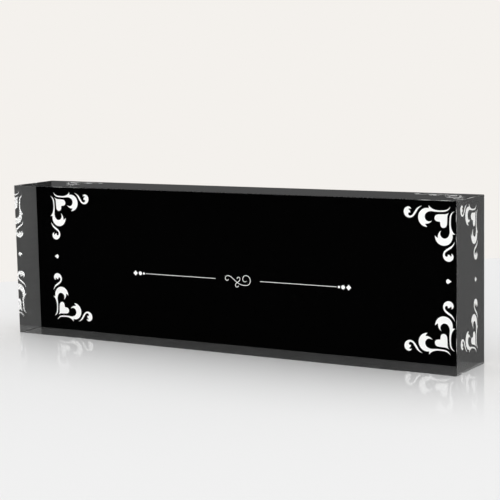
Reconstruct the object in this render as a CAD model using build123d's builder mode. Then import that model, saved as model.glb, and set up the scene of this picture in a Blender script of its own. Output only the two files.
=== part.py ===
# Desk name plate: a free-standing block of clear acrylic with a black film glued to its back and read
# through its front. The film is printed in white ink, in separate islands that lie flat on the acrylic.
# Millimetres, base at z = 0, front towards -y, the long side along x.
import os

from build123d import *

# Clear block, cut from one-inch cast sheet. Its edges are eased, but for those of the back face, where the
# film is trimmed off flush
block_width = 203.2
block_height = 63.5
block_depth = 25.4
edge_bevel = 0.15

# Black film behind the block, and the white ink printed on it. Clear glue, as thin as the ink, fills in
# between the islands and isn't drawn
film_thickness = 0.1
white_ink = 0.1

# Leaf scroll in each corner, square, measured to its outermost points. The margins keep all of it in sight
# through the front from a seat to one side, where the block bends the view
ornament_size = 21.1
end_margin = 7.5
level_margin = 3.7

# Drop at mid height, its point towards the end of the block
drop_length = 2.1
drop_width = 1.8
drop_bulge = 0.75
drop_indent = 1.5

# Divider below the middle: a flourish, then on each side a rule with beads beyond its outer end
divider_fall = 4.9
rule_start = 10.5
rule_length = 34.3
rule_thickness = 0.2
small_bead = 1
large_bead = 1.6
diamond = 2.2
bead_gap = 0.5
flourish_stroke = 0.22
flourish_crossing = (-0.2, -1.05)

front_y = -(block_depth + white_ink + film_thickness) / 2
back_y = front_y + block_depth
film_y = back_y + white_ink
middle_z = block_height / 2
divider_z = middle_z - divider_fall
behind = (0, 1, 0)

os.makedirs("parts", exist_ok=True)


# The scroll is drawn once, in hundredths of its size: u along the long edge, v along the short edge, both
# counted inwards from the corner. Its leaves and curls repeat across the diagonal
def spot(u, v):
    return Vector(u, v) * ornament_size / 100


# An outline made of runs, with a corner where one run ends and the next begins. A run goes straight to its
# only spot, or in arcs through several, each arc leaving the one before it smoothly
def draw_runs(start, *runs):
    here = spot(*start)
    for run in runs:
        first, *others = [spot(u, v) for u, v in run]
        if others:
            line = ThreePointArc(here, first, others.pop(0))
        else:
            line = Line(here, first)
        for other in others:
            line = TangentArc(line @ 1, other, tangent=line % 1)
        here = line @ 1


with BuildSketch() as heart:
    with BuildLine() as lobe:
        draw_runs(
            (11.6, 11.6),
            ((15.4, 14), (20, 14.9), (33, 15.6), (38.9, 21.9), (34.2, 27.7), (28.4, 28.4)),
        )
        mirror(lobe.line, about=Plane(origin=(0, 0, 0), z_dir=(1, -1, 0)))
    make_face()

# A leaf: a thin tail rises to a tick, then a full crescent ends in two hooked tips with a notch between
with BuildSketch() as leaf:
    with BuildLine():
        draw_runs(
            (9.2, 1.3),
            ((13.4, 5.4), (20, 7.8), (31, 8.4), (42, 6.2), (50, 0)),
            ((49.8, 5.3),),
            ((70.2, 21.9), (52.8, 38.2)),
            ((55.4, 35.9), (56.9, 32.6)),
            ((50, 31.8), (43.8, 26.6)),
            ((50, 28.4), (56, 25), (53.9, 12.9), (43, 10.3), (19.5, 10.2), (9.2, 1.3)),
        )
    make_face()

# A curl: a thin tail winds up into a bulb, with a tongue inside the turn and a beak at its end
with BuildSketch() as curl:
    with BuildLine():
        draw_runs(
            (62.8, 1.3),
            ((70, 3.9), (75.8, 9.6), (80.7, 17), (86.4, 19.6), (89.4, 17.2), (85.6, 14.3)),
            ((86.2, 11), (89.3, 8.2)),
            ((86.5, 6.8), (83.6, 7.5)),
            ((85.8, 4.4), (90.4, 3.3), (98, 12.8), (87, 23.1), (78.2, 19), (72, 9.9), (62.8, 1.3)),
        )
    make_face()

with BuildSketch() as drop:
    with BuildLine():
        shoulder = drop_length - drop_bulge
        Polyline((shoulder, drop_width / 2), (0, 0), (shoulder, -drop_width / 2))
        ThreePointArc((shoulder, drop_width / 2), (drop_length, 0), (shoulder, -drop_width / 2))
    make_face()

# The flourish is two crossing strokes of a pen. Each half of a stroke leaves the crossing straight, then
# winds up in left-hand turns: heading, straight length, and the radius and angle of every turn
half_strokes = (
    (-29, 0.3, ((6.7, 37), (2, 172), (1.55, 90), (1, 130))),
    (143, 3.3, ((2.9, 37), (1.2, 90), (0.75, 150))),
    (35, 0.95, ((1.25, 55), (0.65, 180))),
    (215, 0.5, ((1.05, 55), (0.7, 165))),
)
with BuildSketch() as flourish:
    for heading, straight, turns in half_strokes:
        with BuildLine(mode=Mode.PRIVATE) as pen:
            path = PolarLine(flourish_crossing, straight, heading)
            for radius, angle in turns:
                path = JernArc(path @ 1, path % 1, radius, angle)
        SlotArc(pen.wire(), flourish_stroke)

with BuildSketch() as rule:
    Rectangle(rule_length, rule_thickness)

# The shapes beyond the outer end of a rule, each with its distance from the middle of the divider
small_bead_x = rule_start + rule_length + bead_gap + small_bead / 2
large_bead_x = small_bead_x + small_bead / 2 + bead_gap + large_bead / 2
diamond_x = large_bead_x + large_bead / 2 + bead_gap + diamond / 2
with BuildSketch() as small_disc:
    Circle(small_bead / 2)
with BuildSketch() as large_disc:
    Circle(large_bead / 2)
with BuildSketch() as lozenge:
    RegularPolygon(diamond / 2, 4)

# Where each island of white ink goes: its outline, its place on the back face and its own two directions
rightward = Vector(1, 0, 0)
upward = Vector(0, 0, 1)
places = {}
for end, side in (("left", -1), ("right", 1)):
    inward = rightward * -side
    for level_name, level in (("top", 1), ("bottom", -1)):
        name = f"{level_name}_{end}"
        towards_middle = upward * -level
        x = side * (block_width / 2 - end_margin)
        z = middle_z + level * (middle_z - level_margin)
        places[f"{name}_heart"] = (heart, x, z, inward, towards_middle)
        places[f"{name}_long_leaf"] = (leaf, x, z, inward, towards_middle)
        places[f"{name}_tall_leaf"] = (leaf, x, z, towards_middle, inward)
        places[f"{name}_long_curl"] = (curl, x, z, inward, towards_middle)
        places[f"{name}_tall_curl"] = (curl, x, z, towards_middle, inward)
    drop_x = side * (block_width / 2 - end_margin - drop_indent)
    places[f"{end}_drop"] = (drop, drop_x, middle_z, inward, upward)
    rule_x = side * (rule_start + rule_length / 2)
    places[f"{end}_rule"] = (rule, rule_x, divider_z, inward, upward)
    places[f"{end}_small_bead"] = (small_disc, side * small_bead_x, divider_z, inward, upward)
    places[f"{end}_large_bead"] = (large_disc, side * large_bead_x, divider_z, inward, upward)
    places[f"{end}_diamond"] = (lozenge, side * diamond_x, divider_z, inward, upward)
places["flourish"] = (flourish, 0, divider_z, rightward, upward)

pieces = {}
for name, (outline, x, z, along, across) in places.items():
    with BuildPart() as island:
        with BuildSketch(Plane(origin=(x, back_y, z), x_dir=along, z_dir=along.cross(across))):
            add(outline.sketch)
        extrude(amount=white_ink, dir=behind)
    pieces[name] = island.part

# The block seen from the front, and the film behind it, share one outline
with BuildSketch() as block_outline:
    Rectangle(block_width, block_height)
    chamfer(block_outline.vertices(), length=edge_bevel)

with BuildPart() as acrylic_block:
    with BuildSketch(Plane(origin=(0, front_y, middle_z), x_dir=rightward, z_dir=behind)):
        add(block_outline.sketch)
    extrude(amount=block_depth)
    front_face = acrylic_block.faces().sort_by(Axis.Y)[0]
    chamfer(front_face.edges(), length=edge_bevel)

with BuildPart() as black_film:
    with BuildSketch(Plane(origin=(0, film_y, middle_z), x_dir=rightward, z_dir=behind)):
        add(block_outline.sketch)
    extrude(amount=film_thickness)

pieces["acrylic_block"] = acrylic_block.part
pieces["black_film"] = black_film.part
for name, piece in pieces.items():
    piece.label = name
    export_step(piece, f"parts/{name}.step")
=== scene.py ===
import math

import bmesh
import bpy
from mathutils import Matrix, Vector


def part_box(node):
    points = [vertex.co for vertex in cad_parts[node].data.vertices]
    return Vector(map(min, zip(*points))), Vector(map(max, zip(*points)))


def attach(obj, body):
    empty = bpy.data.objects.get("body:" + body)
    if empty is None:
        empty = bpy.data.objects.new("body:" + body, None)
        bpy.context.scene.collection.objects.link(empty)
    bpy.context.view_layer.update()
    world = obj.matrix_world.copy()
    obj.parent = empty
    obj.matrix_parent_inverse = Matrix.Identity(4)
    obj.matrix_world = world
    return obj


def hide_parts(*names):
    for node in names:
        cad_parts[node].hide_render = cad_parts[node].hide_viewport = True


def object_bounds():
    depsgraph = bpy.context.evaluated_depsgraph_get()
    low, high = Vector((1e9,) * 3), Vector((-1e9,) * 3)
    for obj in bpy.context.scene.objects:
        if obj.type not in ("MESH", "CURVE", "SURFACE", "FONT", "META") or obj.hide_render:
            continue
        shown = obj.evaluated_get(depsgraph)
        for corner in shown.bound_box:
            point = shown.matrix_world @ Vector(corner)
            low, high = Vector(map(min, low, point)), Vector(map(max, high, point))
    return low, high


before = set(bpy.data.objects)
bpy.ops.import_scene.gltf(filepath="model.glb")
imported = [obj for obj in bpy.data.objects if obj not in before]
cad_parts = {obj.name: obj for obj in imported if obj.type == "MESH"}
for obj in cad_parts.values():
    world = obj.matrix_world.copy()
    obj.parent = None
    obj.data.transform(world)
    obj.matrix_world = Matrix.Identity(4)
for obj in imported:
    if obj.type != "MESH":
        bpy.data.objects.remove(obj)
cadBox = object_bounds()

mm = 0.001
squareOn = 0.9   # cosine beyond which a face counts as square to an axis

# a Mix node's colour sockets by number, because its other sockets have the same names
mixFactor, mixA, mixB, mixed = 0, 6, 7, 2


def linear(hexColour):
    parts = [int(hexColour[i:i + 2], 16) / 255 for i in (1, 3, 5)]
    return [c / 12.92 if c <= 0.04045 else ((c + 0.055) / 1.055) ** 2.4 for c in parts] + [1]


def addNode(tree, kind, inputs=(), **settings):
    node = tree.nodes.new("ShaderNode" + kind)
    for name, value in settings.items():
        setattr(node, name, value)
    for name, value in dict(inputs).items():
        if isinstance(value, bpy.types.NodeSocket):
            tree.links.new(value, node.inputs[name])
        else:
            node.inputs[name].default_value = value
    return node


def newMaterial(name):
    material = bpy.data.materials.new(name)
    material.use_nodes = True
    material.node_tree.nodes.clear()
    return material, material.node_tree


def newPiece(name, bm, materials):
    mesh = bpy.data.meshes.new(name)
    bm.to_mesh(mesh)
    bm.free()
    for material in materials:
        mesh.materials.append(material)
    piece = bpy.data.objects.new(name, mesh)
    bpy.context.scene.collection.objects.link(piece)
    return piece


acrylicIor = 1.49

# cast acrylic, the two sheet faces: glassy as cast, with a trace of cloud where it was buffed
faceSettings = {"colour": "#fdfdfd", "cloud": "#f8f9f9", "gloss": "#000000", "clear": 1, "roughness": 0,
                "buffing": 9 * mm, "detail": 3}


def castAcrylic():
    s = faceSettings
    material, tree = newMaterial("castAcrylicSheetFace")
    place = addNode(tree, "TexCoord")
    buffing = addNode(tree, "TexNoise", {
        "Vector": place.outputs["Object"], "Scale": 1 / s["buffing"], "Detail": s["detail"]})
    tint = addNode(tree, "Mix", {
        mixFactor: buffing.outputs["Fac"], mixA: linear(s["colour"]), mixB: linear(s["cloud"])},
        data_type="RGBA")
    shader = addNode(tree, "BsdfPrincipled", {
        "Base Color": tint.outputs[mixed], "Roughness": s["roughness"], "IOR": acrylicIor,
        "Transmission Weight": s["clear"], "Specular Tint": linear(s["gloss"])})
    addNode(tree, "OutputMaterial", {"Surface": shader.outputs["BSDF"]})
    return material


# cast acrylic, the four sawn and polished edges: clear, with a thin grey veil of matt scatter, streaked like
# saw marks. The veil's share is set edge by edge for the grey each edge shows under these lamps: painted
# shade and light. "clear" is how much of an edge has none
edgeSettings = {
    "colour": "#f4f4f3", "mark": "#e2e3e3", "gloss": "#4a4a4a", "roughness": 0,
    "sawMarks": 1.2 * mm, "detail": 2, "drawnOut": 0.08,   # the marks run along the depth of the block
    # each edge's veil share is set for the grey that edge shows under these lamps: painted shade and light
    "edges": {
        "flamePolishedAcrylicTop": {"faces": (0, 0, 1), "clear": 1},
        "acrylicLeftEdgePaintedShade": {"faces": (-1, 0, 0), "clear": 0.845},
        "acrylicRightEdgePaintedShade": {"faces": (1, 0, 0), "clear": 0.92},
        "acrylicBaseEdgePaintedShade": {"faces": (0, 0, -1), "clear": 0.885},
    },
}


def sawnAcrylic(name, clear):
    s = edgeSettings
    material, tree = newMaterial(name)
    place = addNode(tree, "TexCoord")
    across = addNode(tree, "VectorMath", {0: place.outputs["Object"], 1: (1, s["drawnOut"], 1)},
                     operation="MULTIPLY")
    marks = addNode(tree, "TexNoise", {
        "Vector": across.outputs[0], "Scale": 1 / s["sawMarks"], "Detail": s["detail"]})
    tint = addNode(tree, "Mix", {
        mixFactor: marks.outputs["Fac"], mixA: linear(s["colour"]), mixB: linear(s["mark"])},
        data_type="RGBA")
    # what is not clear is a matt veil lit by the lamps, its share set edge by edge: painted shade
    shader = addNode(tree, "BsdfPrincipled", {
        "Base Color": tint.outputs[mixed], "Roughness": s["roughness"], "IOR": acrylicIor,
        "Transmission Weight": clear, "Specular Tint": linear(s["gloss"])})
    addNode(tree, "OutputMaterial", {"Surface": shader.outputs["BSDF"]})
    return material


# cast acrylic, scraped bevels: dulled by the scraper, so they blur what lies behind
bevelSettings = {"colour": "#d8d9d9", "gloss": "#000000", "clear": 1, "scrape": 0.4 * mm, "detail": 2,
                 "noise": (0.3, 0.7), "roughness": (0.2, 0.35)}   # the noise's usual span, and what it gives


def scrapedAcrylic():
    s = bevelSettings
    material, tree = newMaterial("scrapedAcrylicBevel")
    place = addNode(tree, "TexCoord")
    scrape = addNode(tree, "TexNoise", {
        "Vector": place.outputs["Object"], "Scale": 1 / s["scrape"], "Detail": s["detail"]})
    frost = addNode(tree, "MapRange", {
        "Value": scrape.outputs["Fac"], "From Min": s["noise"][0], "From Max": s["noise"][1],
        "To Min": s["roughness"][0], "To Max": s["roughness"][1]})
    shader = addNode(tree, "BsdfPrincipled", {
        "Base Color": linear(s["colour"]), "Roughness": frost.outputs["Result"], "IOR": acrylicIor,
        "Transmission Weight": s["clear"], "Specular Tint": linear(s["gloss"])})
    addNode(tree, "OutputMaterial", {"Surface": shader.outputs["BSDF"]})
    return material


# white ink, printed: matt and even, with a little mottle in its cover
inkSettings = {"full": "#fdfdfc", "thin": "#f6f6f4", "mottle": 1.6 * mm, "detail": 3, "roughness": 0.55,
               "specular": 0}   # under the clear glue it has no gloss of its own


def printedInk():
    s = inkSettings
    material, tree = newMaterial("printedWhiteInk")
    place = addNode(tree, "TexCoord")
    mottle = addNode(tree, "TexNoise", {
        "Vector": place.outputs["Object"], "Scale": 1 / s["mottle"], "Detail": s["detail"]})
    cover = addNode(tree, "Mix", {
        mixFactor: mottle.outputs["Fac"], mixA: linear(s["thin"]), mixB: linear(s["full"])},
        data_type="RGBA")
    shader = addNode(tree, "BsdfPrincipled", {
        "Base Color": cover.outputs[mixed], "Roughness": s["roughness"], "Specular IOR Level": s["specular"]})
    addNode(tree, "OutputMaterial", {"Surface": shader.outputs["BSDF"]})
    return material


# black vinyl film, calendered: deep black under the glue, and satin with a faint orange peel on its open back
filmSettings = {"black": "#020202", "worn": "#040404", "roughness": 0.4,
                "peel": 1.5 * mm, "detail": 2,   # drawn coarser than it is, to show
                "peelStrength": 0.5, "peelDepth": 0.05 * mm,
                "specular": {"gluedBlackVinyl": 0, "calenderedBlackVinyl": 0.5}}


def vinylFilm(name):
    s = filmSettings
    material, tree = newMaterial(name)
    place = addNode(tree, "TexCoord")
    peel = addNode(tree, "TexNoise", {
        "Vector": place.outputs["Object"], "Scale": 1 / s["peel"], "Detail": s["detail"]})
    tone = addNode(tree, "Mix", {
        mixFactor: peel.outputs["Fac"], mixA: linear(s["black"]), mixB: linear(s["worn"])},
        data_type="RGBA")
    bump = addNode(tree, "Bump", {
        "Strength": s["peelStrength"], "Distance": s["peelDepth"], "Height": peel.outputs["Fac"]})
    shader = addNode(tree, "BsdfPrincipled", {
        "Base Color": tone.outputs[mixed], "Roughness": s["roughness"],
        "Specular IOR Level": s["specular"][name], "Normal": bump.outputs["Normal"]})
    addNode(tree, "OutputMaterial", {"Surface": shader.outputs["BSDF"]})
    return material


# the block: its back goes half way into the film, so that the ink and the film's face sit in the clear glue
blockSettings = {"bevel": 0.15 * mm}


def makeBlock():
    low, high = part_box("acrylic_block")
    filmLow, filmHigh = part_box("black_film")
    high.y = (filmLow.y + filmHigh.y) / 2
    bm = bmesh.new()
    bmesh.ops.create_cube(bm, size=1)
    for vert in bm.verts:
        vert.co = [low[i] + (vert.co[i] + 0.5) * (high[i] - low[i]) for i in range(3)]
    # every edge is eased but the back's own four
    eased = [edge for edge in bm.edges if any(vert.co.y < 0 for vert in edge.verts)]
    bmesh.ops.bevel(bm, geom=eased, offset=blockSettings["bevel"], offset_type="OFFSET", segments=1,
                    affect="EDGES")
    finishes = [castAcrylic(), scrapedAcrylic()]
    for face in bm.faces:
        face.material_index = 0 if abs(face.normal.y) > squareOn else 1
    for name, edge in edgeSettings["edges"].items():
        for face in bm.faces:
            if face.normal.dot(Vector(edge["faces"])) > squareOn:
                face.material_index = len(finishes)
        finishes.append(sawnAcrylic(name, edge["clear"]))
    block = newPiece("clear_block", bm, finishes)
    block.visible_shadow = False   # light reaches the ink through the block
    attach(block, "root")
    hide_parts("acrylic_block")
    print("block: bevelled, back at", round(high.y / mm, 2), "mm")


makeBlock()


# the film: one sheet, cut to the block's outline
def makeFilm():
    low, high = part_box("black_film")
    cut = blockSettings["bevel"]
    outline = [(low.x, low.z + cut), (low.x + cut, low.z), (high.x - cut, low.z), (high.x, low.z + cut),
               (high.x, high.z - cut), (high.x - cut, high.z), (low.x + cut, high.z), (low.x, high.z - cut)]
    bm = bmesh.new()
    front = bm.faces.new([bm.verts.new((x, low.y, z)) for x, z in outline])
    grown = bmesh.ops.extrude_face_region(bm, geom=[front], use_keep_orig=True)["geom"]
    backVerts = [part for part in grown if isinstance(part, bmesh.types.BMVert)]
    bmesh.ops.translate(bm, verts=backVerts, vec=(0, high.y - low.y, 0))
    bmesh.ops.recalc_face_normals(bm, faces=bm.faces)
    for face in bm.faces:
        face.material_index = 0 if face.normal.y < -squareOn else 1
    film = newPiece("backing_film", bm, [vinylFilm(name) for name in filmSettings["specular"]])
    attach(film, "root")
    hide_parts("black_film")
    print("film:", len(film.data.polygons), "faces")


makeFilm()

ink = printedInk()
islands = [node for name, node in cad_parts.items() if name not in ("acrylic_block", "black_film")]
for island in islands:
    island.data.materials.clear()
    island.data.materials.append(ink)
print("print:", len(islands), "islands of ink on the film")


# the table: pale lacquer, with a gloss that is strongest by the plate and fades out around it. Its back edge
# runs a little behind the plate. Millimetres
tableSettings = {"colour": "#ededed", "gloss": 0.33, "fade": 85, "fadeCurve": 2,
                 "roughness": 0.05, "wipe": 60, "detail": 2, "unevenness": 0.1,
                 "edgeLeft": (-207.7, 96.7), "edgeRight": (-1.1, 285.8), "reach": 3000,
                 "level": -0.03}   # a hair under the block, so that its base stays a clear face


def lacquer():
    s = tableSettings
    material, tree = newMaterial("lacqueredTableTop")
    place = addNode(tree, "TexCoord")
    wipe = addNode(tree, "TexNoise", {
        "Vector": place.outputs["Object"], "Scale": 1 / (s["wipe"] * mm), "Detail": s["detail"]})
    dull = addNode(tree, "MapRange", {
        "Value": wipe.outputs["Fac"], "To Min": s["roughness"] * (1 - s["unevenness"]),
        "To Max": s["roughness"] * (1 + s["unevenness"])})
    # how far a spot lies outside the plate's box, and from that how much of it is gloss
    halfPlate = (cadBox[1] - cadBox[0]) / 2
    away = addNode(tree, "VectorMath", {0: place.outputs["Object"]}, operation="ABSOLUTE")
    away = addNode(tree, "VectorMath", {0: away.outputs[0], 1: halfPlate}, operation="SUBTRACT")
    away = addNode(tree, "VectorMath", {0: away.outputs[0], 1: (0, 0, 0)}, operation="MAXIMUM")
    away = addNode(tree, "VectorMath", {0: away.outputs[0]}, operation="LENGTH")
    near = addNode(tree, "MapRange", {
        "Value": away.outputs["Value"], "From Max": s["fade"] * mm, "To Min": 1, "To Max": 0})
    near = addNode(tree, "Math", {0: near.outputs["Result"], 1: s["fadeCurve"]}, operation="POWER")
    share = addNode(tree, "Math", {0: near.outputs[0], 1: s["gloss"]}, operation="MULTIPLY")
    paint = addNode(tree, "BsdfDiffuse", {"Color": linear(s["colour"])})
    gloss = addNode(tree, "BsdfAnisotropic", {"Roughness": dull.outputs["Result"]})
    shader = addNode(tree, "MixShader", {
        0: share.outputs[0], 1: paint.outputs["BSDF"], 2: gloss.outputs["BSDF"]})
    addNode(tree, "OutputMaterial", {"Surface": shader.outputs["Shader"]})
    return material


def makeTable():
    s = tableSettings
    left, right = Vector(s["edgeLeft"]), Vector(s["edgeRight"])
    along = (right - left).normalized()
    forward = Vector((along.y, -along.x))
    corners = [left - along * s["reach"], left + along * s["reach"]]
    corners += [corners[1] + forward * s["reach"], corners[0] + forward * s["reach"]]
    bm = bmesh.new()
    bm.faces.new([bm.verts.new((x * mm, y * mm, s["level"] * mm)) for x, y in reversed(corners)])
    table = newPiece("table_top", bm, [lacquer()])
    print("table: gloss fades out", s["fade"], "mm from the plate")


makeTable()

# cards that glow with a set dark grey, whatever the lamps, and that only sharp gloss sees: painted
# reflections, not lit felt. The two behind are for the plate's top, the two beside for its right end, and the
# one before it for its front. Millimetres, and degrees about x and then z
cardSettings = {
    "cardBehind": {"colour": "#616161", "at": (-1485, 2620, 340), "turn": (90, 31.5), "size": (1196, 190)},
    "cardBehindLeft": {"colour": "#020202", "at": (-2138, 2216, 340), "turn": (90, 31.5), "size": (380, 190)},
    "cardBeside": {"colour": "#3c3c3c", "at": (118, 37, 40), "turn": (90, -24), "size": (60, 80)},
    "cardBesideFlat": {"colour": "#3c3c3c", "at": (133, 27, 0.2), "turn": (0, 0), "size": (60, 84)},
    "cardBefore": {"colour": "#020202", "at": (-280, -360, 0.2), "turn": (0, 0), "size": (860, 690)},
}
# how much the glow of the painted reflections varies at random, and over what size. Millimetres
paintedReflectionSettings = {"glowGrain": 3, "unevenness": 0.05}


# a painted reflection: a card that glows with its own set grey, whatever the lamps, and shows only in sharp
# gloss
def paintedReflection(name, colour):
    s = paintedReflectionSettings
    material, tree = newMaterial(name + "PaintedReflection")
    place = addNode(tree, "TexCoord")
    path = addNode(tree, "LightPath")
    glowGrain = addNode(tree, "TexNoise", {"Vector": place.outputs["Object"], "Scale": 1 / (s["glowGrain"] * mm)})
    bright = addNode(tree, "MapRange", {
        "Value": glowGrain.outputs["Fac"], "To Min": 1 - s["unevenness"], "To Max": 1 + s["unevenness"]})
    glow = addNode(tree, "Emission", {"Color": linear(colour), "Strength": bright.outputs["Result"]})
    clear = addNode(tree, "BsdfTransparent")
    shown = addNode(tree, "MixShader", {
        0: path.outputs["Is Singular Ray"], 1: clear.outputs["BSDF"], 2: glow.outputs["Emission"]})
    addNode(tree, "OutputMaterial", {"Surface": shown.outputs["Shader"]})
    return material


def makeCard(name, s):
    bm = bmesh.new()
    w, h = [side / 2 * mm for side in s["size"]]
    bm.faces.new([bm.verts.new((x, y, 0)) for x, y in ((-w, -h), (w, -h), (w, h), (-w, h))])
    card = newPiece(name, bm, [paintedReflection(name, s["colour"])])
    card.location = Vector(s["at"]) * mm
    card.rotation_euler = [math.radians(s["turn"][0]), 0, math.radians(s["turn"][1])]
    card.visible_camera = card.visible_diffuse = card.visible_transmission = card.visible_shadow = False


for name, s in cardSettings.items():
    makeCard(name, s)
print("cards:", len(cardSettings), "of dark felt")


# the studio: a warm pale backdrop for the eye, for gloss and for what is seen through the acrylic, and plain
# grey light from all round for everything else
worldSettings = {"backdrop": "#f4f1ed", "below": "#ececec", "ambient": 0.8,
                 "blend": (-0.21, -0.16),   # from below to backdrop, by how steeply a ray goes down
                 "halfBounce": 0.5}   # fewer matt bounces than this means none


def makeWorld():
    s = worldSettings
    world = bpy.data.worlds.new("studio")
    bpy.context.scene.world = world
    world.use_nodes = True
    tree = world.node_tree
    tree.nodes.clear()
    place = addNode(tree, "TexCoord")
    axes = addNode(tree, "SeparateXYZ", {"Vector": place.outputs["Generated"]})
    height = addNode(tree, "MapRange", {
        "Value": axes.outputs["Z"], "From Min": s["blend"][0], "From Max": s["blend"][1]})
    shown = addNode(tree, "Mix", {
        mixFactor: height.outputs["Result"], mixA: linear(s["below"]), mixB: linear(s["backdrop"])},
        data_type="RGBA")
    path = addNode(tree, "LightPath")
    seen = addNode(tree, "Math", {0: path.outputs["Is Camera Ray"], 1: path.outputs["Is Glossy Ray"]},
                   operation="MAXIMUM")
    seen = addNode(tree, "Math", {0: seen.outputs[0], 1: path.outputs["Is Transmission Ray"]},
                   operation="MAXIMUM")
    direct = addNode(tree, "Math", {0: path.outputs["Diffuse Depth"], 1: s["halfBounce"]},
                     operation="LESS_THAN")
    seen = addNode(tree, "Math", {0: seen.outputs[0], 1: direct.outputs[0]}, operation="MULTIPLY")
    grey = [s["ambient"]] * 3 + [1]
    colour = addNode(tree, "Mix", {mixFactor: seen.outputs[0], mixA: grey, mixB: shown.outputs[mixed]},
                     data_type="RGBA")
    light = addNode(tree, "Background", {"Color": colour.outputs[mixed]})
    addNode(tree, "OutputWorld", {"Surface": light.outputs["Background"]})


makeWorld()

# a large soft box on the camera's side, far off so that the table is lit evenly, and a weak one above. Metres
lampSettings = {
    "keyBox": {"at": (4.12, -6.72, 1.91), "size": 3.6, "power": 475},
    "topBox": {"at": (0.1, 0.1, 1.7), "size": 1.6, "power": 2.8},
}
lampAim = Vector((0, 0, 0.03))   # about half way up the plate


def makeLamp(name, s):
    lamp = bpy.data.lights.new(name, "AREA")
    lamp.shape = "SQUARE"
    lamp.size = s["size"]
    lamp.energy = s["power"]
    box = bpy.data.objects.new(name, lamp)
    box.location = s["at"]
    box.rotation_mode = "QUATERNION"
    box.rotation_quaternion = (lampAim - box.location).to_track_quat("-Z", "Y")
    box.visible_transmission = box.visible_glossy = False   # no white patch in the polished top
    bpy.context.scene.collection.objects.link(box)


for name, s in lampSettings.items():
    makeLamp(name, s)
print("studio:", len(lampSettings), "soft boxes")

# the photograph's angle. Millimetres and degrees
cameraSettings = {"lens": 105.8, "sensor": 36, "clipStart": 10, "azimuth": 31.49, "elevation": 7.39,
                  "roll": -1.17, "distance": 582.5, "target": (7.72, 0, 39.7)}


def makeCamera():
    s = cameraSettings
    azimuth, elevation, roll = [math.radians(s[angle]) for angle in ("azimuth", "elevation", "roll")]
    back = Vector((math.sin(azimuth) * math.cos(elevation), -math.cos(azimuth) * math.cos(elevation),
                   math.sin(elevation)))
    right = Vector((math.cos(azimuth), math.sin(azimuth), 0))
    right = right * math.cos(roll) + back.cross(right) * math.sin(roll)
    up = back.cross(right)
    lens = bpy.data.cameras.new("camera")
    lens.lens = s["lens"]
    lens.sensor_width = s["sensor"]
    lens.clip_start = s["clipStart"] * mm
    camera = bpy.data.objects.new("camera", lens)
    turn = Matrix((right, up, back)).transposed().to_4x4()
    camera.matrix_world = Matrix.Translation((Vector(s["target"]) + back * s["distance"]) * mm) @ turn
    bpy.context.scene.collection.objects.link(camera)
    bpy.context.scene.camera = camera
    print("camera:", s["distance"], "mm from its target")


makeCamera()
bpy.context.scene.view_settings.view_transform = "Standard"
